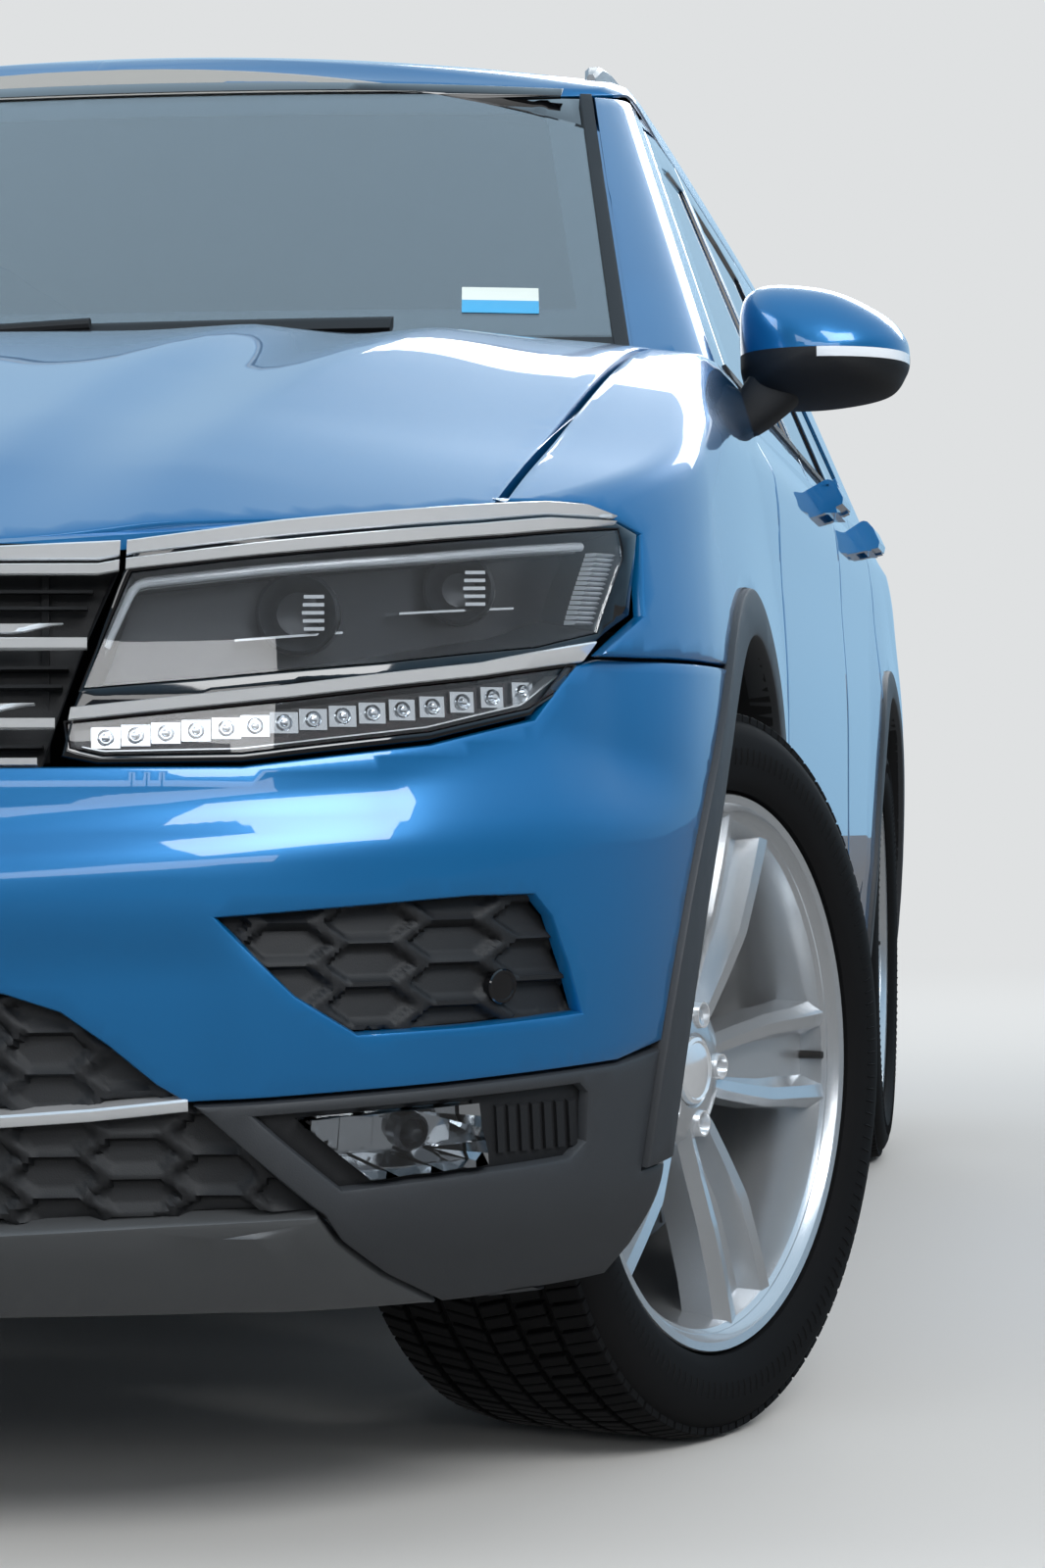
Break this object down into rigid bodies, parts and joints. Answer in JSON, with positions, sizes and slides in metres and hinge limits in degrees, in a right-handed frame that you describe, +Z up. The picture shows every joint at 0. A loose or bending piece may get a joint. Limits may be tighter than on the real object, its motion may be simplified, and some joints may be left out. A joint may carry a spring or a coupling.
{
  "type": "compact suv",
  "caption": "Five-door compact sport utility vehicle with steered front wheels, opening doors, hood and tailgate, and a hollow furnished cabin.",
  "frame": {"origin": "on the ground, half way between the foremost and rearmost points", "axes": "+X to the car's left, nose towards -Y, +Z up"},
  "size_m": [2.096, 4.486, 1.632],
  "materials": {
    "paint": "metallic mid blue clear coat",
    "inner_paint": "satin body colour inside",
    "textured_plastic": "grained dark grey",
    "gloss_black": "piano black",
    "satin_grey": "satin grey paint",
    "chrome_trim": "polished",
    "clear_cover": "clear polycarbonate",
    "window_glass": "lightly tinted",
    "lamp_glass": "clear with bright reflector",
    "lamp_red": "red lens",
    "tyre_rubber": "matte black",
    "alloy": "machined and painted",
    "cast_iron": "cast",
    "steel": "coated pressed steel",
    "seat_cloth": "dark woven cloth",
    "dash_plastic": "grained soft plastic",
    "wheel_trim": "black soft touch rim"
  },
  "bodies": {
    "body": {"floor_pan": "inner_paint", "side_frame_left": "paint", "side_frame_right": "paint", "roof_panel": "paint", "roof_rails": "satin_grey", "fenders": "paint", "front_bumper": "paint", "bumper_lower": "textured_plastic", "skid_plate": "satin_grey", "upper_grille": "chrome_trim", "lower_grille": "textured_plastic", "vent_grilles": "textured_plastic", "headlamps": "gloss_black", "lamp_lenses": "clear_cover", "fog_lamps": "lamp_glass", "wheel_arches": "textured_plastic", "sill_strips": "textured_plastic", "rear_bumper": "paint", "rear_lamps": "lamp_red", "windscreen": "window_glass", "quarter_glass": "window_glass", "cowl": "textured_plastic", "seats": "seat_cloth", "dashboard": "dash_plastic", "engine": "cast_iron", "front_suspension": "steel", "rear_suspension": "steel", "underbody": "textured_plastic"},
    "hood": {"hood": "paint"},
    "tailgate": {"tailgate": "paint", "tailgate_glass": "window_glass"},
    "steering_wheel": {"steering_wheel": "wheel_trim"},
    "door_front_left": {"door_front_left": "paint", "door_front_glass_left": "window_glass", "mirror_left": "gloss_black"},
    "door_rear_left": {"door_rear_left": "paint", "door_rear_glass_left": "window_glass"},
    "knuckle_left": {"knuckle_left": "cast_iron"},
    "wheel_front_left": {"tyre_front_left": "tyre_rubber", "wheel_front_left": "alloy"},
    "wheel_rear_left": {"tyre_rear_left": "tyre_rubber", "wheel_rear_left": "alloy"},
    "door_front_right": {"door_front_right": "paint", "door_front_glass_right": "window_glass", "mirror_right": "gloss_black"},
    "door_rear_right": {"door_rear_right": "paint", "door_rear_glass_right": "window_glass"},
    "knuckle_right": {"knuckle_right": "cast_iron"},
    "wheel_front_right": {"tyre_front_right": "tyre_rubber", "wheel_front_right": "alloy"},
    "wheel_rear_right": {"tyre_rear_right": "tyre_rubber", "wheel_rear_right": "alloy"}
  },
  "joints": [
    {"name": "hood_hinge", "type": "hinge", "parent": "body", "child": "hood", "pos_m": [0, -1.1, 1.106], "axis": [-1, 0, 0], "range_deg": [0, 55]},
    {"name": "tailgate_hinge", "type": "hinge", "parent": "body", "child": "tailgate", "pos_m": [0, 1.87, 1.582], "axis": [1, 0, 0], "range_deg": [0, 80]},
    {"name": "steering", "type": "hinge", "parent": "body", "child": "steering_wheel", "pos_m": [-0.37, -0.44, 0.96], "axis": [0, 0.9063, 0.4226], "range_deg": [-174, 783]},
    {"name": "door_front_left_hinge", "type": "hinge", "parent": "body", "child": "door_front_left", "pos_m": [0.918, -0.836, 0.8], "axis": [0, 0, -1], "range_deg": [0, 68]},
    {"name": "door_rear_left_hinge", "type": "hinge", "parent": "body", "child": "door_rear_left", "pos_m": [0.918, 0.25, 0.8], "axis": [0, 0, -1], "range_deg": [0, 70]},
    {"name": "steer_left", "type": "hinge", "parent": "body", "child": "knuckle_left", "pos_m": [0.791, -1.363, 0.356], "axis": [0, 0, 1], "range_deg": [-12, 54]},
    {"name": "wheel_front_left_spin", "type": "hinge", "parent": "knuckle_left", "child": "wheel_front_left", "pos_m": [0.791, -1.363, 0.356], "axis": [0.9317, -0.3633, 0], "continuous": true},
    {"name": "wheel_rear_left_spin", "type": "hinge", "parent": "body", "child": "wheel_rear_left", "pos_m": [0.786, 1.318, 0.356], "axis": [1, 0, 0], "continuous": true},
    {"name": "door_front_right_hinge", "type": "hinge", "parent": "body", "child": "door_front_right", "pos_m": [-0.918, -0.836, 0.8], "axis": [0, 0, 1], "range_deg": [0, 68]},
    {"name": "door_rear_right_hinge", "type": "hinge", "parent": "body", "child": "door_rear_right", "pos_m": [-0.918, 0.25, 0.8], "axis": [0, 0, 1], "range_deg": [0, 70]},
    {"name": "steer_right", "type": "hinge", "parent": "body", "child": "knuckle_right", "pos_m": [-0.791, -1.363, 0.356], "axis": [0, 0, 1], "range_deg": [-12, 54]},
    {"name": "wheel_front_right_spin", "type": "hinge", "parent": "knuckle_right", "child": "wheel_front_right", "pos_m": [-0.791, -1.363, 0.356], "axis": [-0.9317, 0.3633, 0], "continuous": true},
    {"name": "wheel_rear_right_spin", "type": "hinge", "parent": "body", "child": "wheel_rear_right", "pos_m": [-0.786, 1.318, 0.356], "axis": [-1, 0, 0], "continuous": true}
  ],
  "couplings": [
    {"joint": "steer_left", "follows": "steering", "ratio": 0.068966},
    {"joint": "steer_right", "follows": "steering", "ratio": 0.068966}
  ]
}
